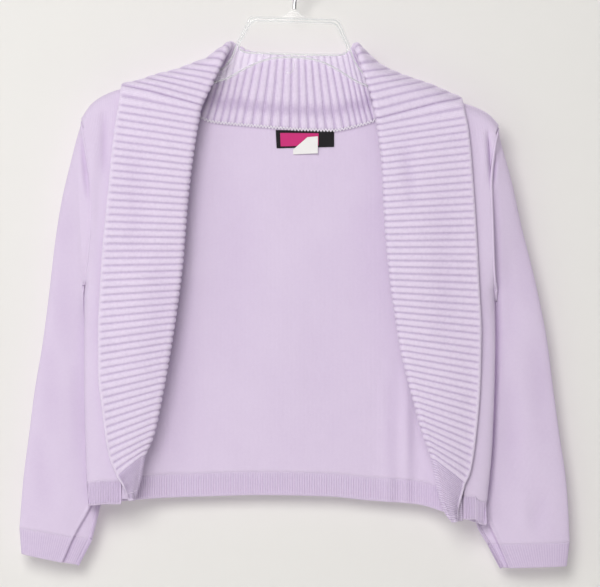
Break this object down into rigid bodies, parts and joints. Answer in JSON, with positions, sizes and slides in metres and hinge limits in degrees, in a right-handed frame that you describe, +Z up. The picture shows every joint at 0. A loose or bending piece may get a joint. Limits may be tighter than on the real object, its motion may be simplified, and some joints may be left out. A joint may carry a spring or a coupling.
{
  "type": "cardigan on a hanger",
  "caption": "Cropped knit cardigan with a wide ribbed shawl collar, hanging open on a clear hanger with a wire hook; its panels, collar and bands are separate cloth walls.",
  "frame": {"origin": "inner top of the hanger's hook, where it bears on a rail", "axes": "+Z up, the garment faces -Y, +X towards the wearer's left"},
  "size_m": [0.579, 0.0448, 0.6515],
  "materials": {
    "knit": "fine lilac jersey knit, matt and slightly fuzzy",
    "rib": "lilac rib knit, matt",
    "label": "black woven label, bare",
    "paper": "white printed-cloth label, bare",
    "plastic": "clear moulded plastic",
    "chrome": "bright plated wire"
  },
  "bodies": {
    "root": {"back": "knit", "back_hem": "rib", "right_front": "knit", "left_front": "knit", "right_front_hem": "rib", "left_front_hem": "rib", "right_sleeve": "knit", "left_sleeve": "knit", "right_cuff": "rib", "left_cuff": "rib", "collar_back": "rib", "collar_right_shoulder": "rib", "collar_left_shoulder": "rib", "right_lapel": "rib", "left_lapel": "rib", "label": "label", "size_label": "paper", "hanger": "plastic", "hanger_hook": "chrome"}
  },
  "joints": []
}
